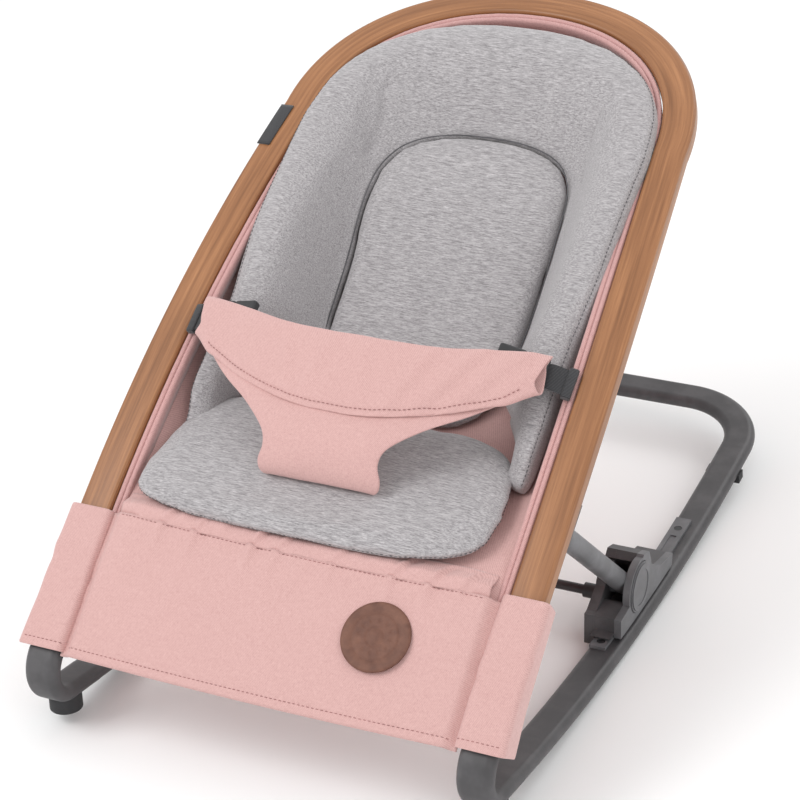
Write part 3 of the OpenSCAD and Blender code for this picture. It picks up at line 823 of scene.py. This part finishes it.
def make_front_panel():
    """The canvas panel across the hoop's legs, gathered into its top seam."""
    rows = []
    for v in spread(0, 1, 40):
        row = []
        for x in spread(-PANEL_HALF_W, PANEL_HALF_W, 180):
            low = hem_s(x)
            s = low + (seam_s(x) - low) * v
            across = 1 - (x / PANEL_HALF_W) ** 2
            d = 4.6 + 6.2 * v ** 1.6 * min(1, across * 4) + 1.6 * across * math.sin(math.pi * v)
            for px, size in PLEATS:
                d += 2.2 * size * bump_at(x + 9 * (1 - v), px, 3.4 + 9 * (1 - v)) * v ** 5
                d -= 1.6 * size * bump_at(x + 9 * (1 - v), px + 8, 4 + 9 * (1 - v)) * v ** 5
            d += 0.9 * wobble(x * 0.018, s * 0.03, 7) * (0.4 + v)
            d -= 0.5 * bump_at(s, low + 9, 1.2) + 6 * ease((abs(x) - 170) / 9)
            row.append(at(x, s, d))
        rows.append(row)
    piece = loft("front_panel_cloth", rows)
    modifier(piece, "SOLIDIFY", thickness=1.6 * MM, offset=-1)
    applied(piece)
    give(piece, PINK)
    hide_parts("front_panel")
    hem = [at(x, hem_s(x) + 8, 6) for x in spread(-PANEL_HALF_W + 4, PANEL_HALF_W - 4, 120)]
    give(stitches("hem_stitches", on_surface(piece, hem), radius=0.34), THREAD_PINK)
    seam = [at(x, seam_s(x) - 2.2, 11) for x in spread(-SEAM_HALF_W + 4, SEAM_HALF_W - 4, 120)]
    give(stitches("panel_stitches", on_surface(piece, seam), radius=0.34), THREAD_PINK)


def make_gathered_strip():
    """The gathered front edge of the sling, from the panel's seam up and under the seat pad."""
    rows = []
    for v in spread(0, 1, 18):
        row = []
        for x in spread(-SEAM_HALF_W, SEAM_HALF_W, 240):
            across = 1 - (x / SEAM_HALF_W) ** 2
            s = seam_s(x) - 1.5 + 24 * v
            d = 10.2 * min(1, 0.35 + across * 2.6) + 3.0 * math.sin(math.pi * min(v * 1.25, 1))
            d -= 13 * max(v - 0.45, 0)
            swell = math.sin(math.pi * min(max(v, 0.06), 1))
            d += swell * (1.5 * wobble(x * 0.055, v * 1.1, 2) + 0.8 * wobble(x * 0.15, v * 1.5, 5))
            for px, size in PLEATS:
                d += 2.0 * size * bump_at(x - 10 * v, px, 2.6) * swell
                d -= 1.8 * size * bump_at(x - 10 * v, px + 6, 3.2) * swell
            row.append(at(x, s, d))
        rows.append(row)
    piece = loft("gathered_strip", rows)
    modifier(piece, "SOLIDIFY", thickness=1.2 * MM, offset=-1)
    applied(piece)
    give(piece, PINK)


SLEEVE_W, SLEEVE_T = 44, 30
LEG_INSET = 14.4                # from the hoop's outline to the middle of a sleeve


def make_sleeve(side, name):
    """A loose sleeve round the hoop's leg, tucked in along the panel's side."""
    low, high = -4, 127
    straight_s = 40             # the leg runs straight below this
    rows = []
    for v in spread(0, 1, 40):
        s = low + (high - low) * v
        wide = SLEEVE_W - 2.0 * v
        centre = side_w(max(s, straight_s)) - LEG_INSET + max(straight_s - s, 0) * 0.02
        front, back = 5.6 - 1.2 * v, -28.5 + 8 * v
        row = []
        for px, pd in rounded_loop(wide, front - back, 6.5, 6, centre, (front + back) / 2):
            loose = math.sin(math.pi * min(v * 1.15 + 0.05, 1))
            slack = 1.3 * wobble(px * 0.05, s * 0.035, 11 + side) * loose
            along = s - 0.55 * (px - 180)
            fold = 1.6 * bump_at(along, 64, 7) - 1.2 * bump_at(along, 52, 6)
            tuck = 3.4 * bump_at(px, 178, 2.6)
            rise = (8 * (front - pd) / (front - back)) * (1 - v) ** 3
            row.append(at(side * (px + 0.4 * slack), s + rise, pd + slack + (fold - tuck) * (pd > 0)))
        rows.append(row)
    piece = loft(name, rows, around=True)
    modifier(piece, "SOLIDIFY", thickness=1.5 * MM, offset=-1)
    subdivided(piece)
    give(piece, PINK)
    hem = [at(side * x, low + 7.5, 6) for x in spread(PANEL_HALF_W, PANEL_HALF_W + 36, 20)]
    give(stitches(name + "_stitches", on_surface(piece, hem), radius=0.34), THREAD_PINK)
    return piece


# ---------------------------------------------------------------- harness
BAND_HALF_W = 157
BAND_TOP = [(0, 309), (27, 309), (73, 313), (118, 324), (156, 333)]
BAND_LOW = [(0, 235), (26, 236), (60, 243), (100, 257), (137, 277), (157, 296)]


def band_d(x):
    """Height of the band's arc between the straps."""
    return STRAP_D + BAND_RISE - x * x / (2 * BAND_R)


# place across, lean and size of each fold
BAND_FOLDS = [(-60, -0.3, 1.2), (-22, 0.2, 1.4), (14, -0.2, 1.1), (62, 0.35, 1.8), (92, 0.5, 2.2),
              (118, 0.6, 1.8)]


def make_waist_band():
    """A flattened tube of canvas whose ends stay open round the buckles."""
    n_a = 40
    rows = []
    for x in spread(-BAND_HALF_W, BAND_HALF_W, 130):
        top, low = line_at(BAND_TOP, abs(x)), line_at(BAND_LOW, abs(x))
        middle = (top + low) / 2
        open_end = ease((abs(x) - 118) / 38)
        thick = 7.5 + 7.5 * open_end
        row = []
        for k in range(n_a):
            a = 2 * math.pi * k / n_a
            ca, sa = math.cos(a), math.sin(a)
            s = middle + (top - low) / 2 * signed_power(ca, 0.75)
            d = band_d(x) - 3.5 + thick / 2 * signed_power(sa, 0.9)
            if sa > 0:
                fade = 1 - ((s - middle) / 40) ** 2
                for fx, lean, size in BAND_FOLDS:
                    leaned = x - lean * (s - 290)
                    d += size * bump_at(leaned, fx, 6) * fade
                    d -= 0.8 * size * bump_at(leaned, fx + 10, 7) * fade
                d += 1.2 * wobble(x * 0.03, s * 0.04, 21)
            reach = x + math.copysign(9 * open_end * (0.6 * ca + 0.35 * sa), x)
            row.append(at(reach, s, d))
        rows.append(row)
    piece = loft("waist_band_cloth", rows, around=True)
    modifier(piece, "SOLIDIFY", thickness=1.6 * MM, offset=-1)
    subdivided(piece)
    line = [at(x, line_at(BAND_LOW, abs(x)) + 5, band_d(x) + 1) for x in spread(-150, 150, 120)]
    seam = groove(piece, line, 0.8, 1.6)
    give(piece, PINK)
    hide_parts("waist_band")
    give(stitches("band_stitches", seam, radius=0.34), THREAD_PINK)


def make_crotch_piece():
    """The funnel of canvas from the band's lower seam down to the seat, rolled under at its foot."""
    # distance up the hoop, height, half width, and how far the row still follows the band's seam
    line = smooth_path([(243, 45.5, 150, 1), (234, 45, 120, 0.92), (225, 43.5, 84, 0.8), (212, 40, 60, 0.55),
                        (201, 34, 54, 0.3), (191, 26, 57, 0.15), (185.5, 19, 56, 0.05), (184, 13, 52, 0),
                        (188, 7, 48, 0), (196, 3, 44, 0)], 6)
    rows = []
    for k, (s, d, w, near) in enumerate(line):
        v = k / (len(line) - 1)
        row = []
        for u in spread(-1, 1, 56):
            x = w * u
            lift = band_d(x) - band_d(0)
            follow = line_at(BAND_LOW, min(abs(x), BAND_HALF_W)) - line_at(BAND_LOW, 0)
            roll = 3.0 * (1 - abs(u) ** 6)
            ripple = 1.3 * wobble(x * 0.03, v * 4, 31)
            row.append(at(x - 2, s + follow * near, d + lift * near + roll - 3 + ripple))
        rows.append(row)
    piece = loft("crotch_cloth", rows)
    modifier(piece, "SOLIDIFY", thickness=4.0 * MM, offset=-1)
    subdivided(piece)
    give(piece, PINK)
    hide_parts("crotch_piece")


def strap_matrix(side):
    """The strap's frame: X out along the strap, Z off its face."""
    m = hoop_matrix(side * STRAP_X, STRAP_S, STRAP_D)
    if side < 0:
        m = m @ Matrix.Rotation(math.pi, 4, "Z")
    return m @ Matrix.Rotation(STRAP_TILT, 4, "Y")


def make_buckle(side, name):
    """A ladder buckle: the socket on the band, the plug, the strap's webbing and its tab on the hoop."""
    m = strap_matrix(side)
    z = -14.2                   # the buckle's middle under the strap's face
    socket = rounded_box("buckle_socket_body_" + name, (24, 32, 8.2), (-26, 0, z), 2.2, m)
    give(socket, PLASTIC_BLACK)
    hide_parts("buckle_socket_" + name)
    bars = [rounded_box("bar", (20.4, 3.4, 8.2), (-3.3, k * 14.2, z), 1.6, m) for k in (-1, 1)]
    rungs = ((-11.4, 4.2), (-3.4, 3.6), (4.8, 4.0))
    bars += [rounded_box("bar", (w, 27, 6.4), (u, 0, z), 1.4, m) for u, w in rungs]
    bars += [rounded_box("bar", (13, 3.6, 3.8), (-20, v, z), 1.0, m) for v in (-7.5, 0, 7.5)]
    plug = joined("buckle_plug_body_" + name, bars)
    give(plug, PLASTIC_BLACK, "plug_" + name)
    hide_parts("buckle_plug_" + name)
    strap_points = [(2.6, z + 0.2), (7, z + 0.4), (11, z + 1.6), (16, z + 1.2), (22, z + 0.2), (30, z - 0.4)]
    rows = [[m @ (Vector((u, px, h + pz)) * MM) for px, pz in rounded_loop(24, 1.6, 0.7, 3)]
            for u, h in smooth_path(strap_points, 5)]
    strap = loft("strap_web_" + name, rows, around=True, caps=True)
    give(strap, WEB)
    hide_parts("strap_" + name)
    tab = rounded_box("strap_tab_" + name, (8.5, 29, 6.5), (28.2, 0, z - 0.6), 1.6, m)
    give(tab, WEB)
    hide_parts("strap_anchor_" + name)


# ---------------------------------------------------------------- patch and tag
def make_patch():
    """A round leather patch with a generic pattern of rings and dots."""
    centre_x, centre_s, centre_d = 92, 66.5, 10.4
    n_around, n_dots, dots_r = 144, 12, 14
    profile = [(0, 1.5), (6, 1.5), (7, 1.0), (8.2, 1.0), (9.2, 1.5), (19, 1.55), (19.8, 1.1), (20.6, 1.1),
               (21.4, 1.55), (27.6, 1.55), (29.2, 1.3), (30, 0.5), (30, -0.6)]
    m = hoop_matrix(centre_x, centre_s, centre_d)
    dots = [(r, 1.55) for r in (10.5, 12, 13.2, 14, 14.8, 16, 17.5)]
    rows = []
    for r, h in sorted(profile[:-1] + dots) + [profile[-1]]:
        row = []
        out = max(r, 0.02)      # the middle stays a small hole, which a cap closes
        for k in range(n_around):
            a = 2 * math.pi * k / n_around
            dent = 0.5 * ease((math.cos(n_dots * a) - 0.2) / 0.5) * bump_at(r, dots_r, 1.8)
            row.append(m @ (Vector((out * math.cos(a), out * math.sin(a), h - dent)) * MM))
        rows.append(row)
    piece = loft("leather_disc", rows, around=True, caps=True)
    give(piece, LEATHER)
    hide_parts("leather_patch")


def make_tag():
    """A folded woven tag over the hoop's left edge."""
    section = rounded_loop(13, 1.4, 0.6, 4)
    rows = []
    for s in spread(521, 571, 14):
        x = -(side_w(s) - 6)
        rows.append([at(x - px, s, 0.9 + pz - 0.05 * (px - 4) ** 2 * (px > 4)) for px, pz in section])
    piece = loft("woven_tag", rows, around=True, caps=True)
    give(piece, WEB)
    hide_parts("side_tag")


# ---------------------------------------------------------------- camera, lights and floor
def make_stage():
    """Pale floor, soft studio light and the camera."""
    mesh = bpy.data.meshes.new("floor")
    mesh.from_pydata([(-6, -6, 0), (6, -6, 0), (6, 6, 0), (-6, 6, 0)], [], [(0, 1, 2, 3)])
    floor = placed("floor", mesh)
    p = Paint("pale_floor", Roughness=0.9, Specular_IOR_Level=0.1)
    p.shader.inputs["Base Color"].default_value = (0.93, 0.93, 0.93, 1)
    mesh.materials.append(p.material)

    world = bpy.data.worlds.new("studio")
    world.use_nodes = True
    world.node_tree.nodes["Background"].inputs["Color"].default_value = (1, 1, 1, 1)
    world.node_tree.nodes["Background"].inputs["Strength"].default_value = 0.85
    bpy.context.scene.world = world
    for name, place, size, power in (("key", (-1.6, -1.9, 2.6), 1.6, 46), ("fill", (2.2, -1.2, 1.5), 2.0, 14),
                                     ("rim", (0.6, 2.4, 2.2), 1.6, 18)):
        light = bpy.data.lights.new(name, "AREA")
        light.size, light.energy = size, power
        lamp = placed(name, light)
        lamp.location = place
        lamp.rotation_euler = (Vector((0, 0, 0.2)) - Vector(place)).to_track_quat("-Z", "Y").to_euler()

    azimuth, elevation, roll = (math.radians(a) for a in (25.77, 26.94, -1.93))
    target, distance = Vector((0, -0.0694, 0.2186)), 2.1754
    back = Vector((math.sin(azimuth) * math.cos(elevation), -math.cos(azimuth) * math.cos(elevation),
                   math.sin(elevation)))
    right = Vector((math.cos(azimuth), math.sin(azimuth), 0))
    up = back.cross(right)
    turned = right * math.cos(roll) + up * math.sin(roll)
    upright = back.cross(turned)
    data = bpy.data.cameras.new("camera")
    data.sensor_width, data.lens = 36, 110.57
    camera = placed("camera", data)
    camera.matrix_world = Matrix.Translation(target + back * distance) @ Matrix(
        (turned, upright, back)).transposed().to_4x4()
    bpy.context.scene.camera = camera
    bpy.context.scene.view_settings.view_transform = "Standard"


make_stage()
make_hoop()
make_sling()
make_piping()
make_back_cushion()
make_insert()
make_seat_pad()
make_front_panel()
make_gathered_strip()
for sign, word in ((-1, "left"), (1, "right")):
    sleeve = make_sleeve(sign, "sleeve_cloth_" + word)
    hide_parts("sleeve_" + word)
    make_buckle(sign, word)
make_waist_band()
make_crotch_piece()
make_patch()
make_tag()
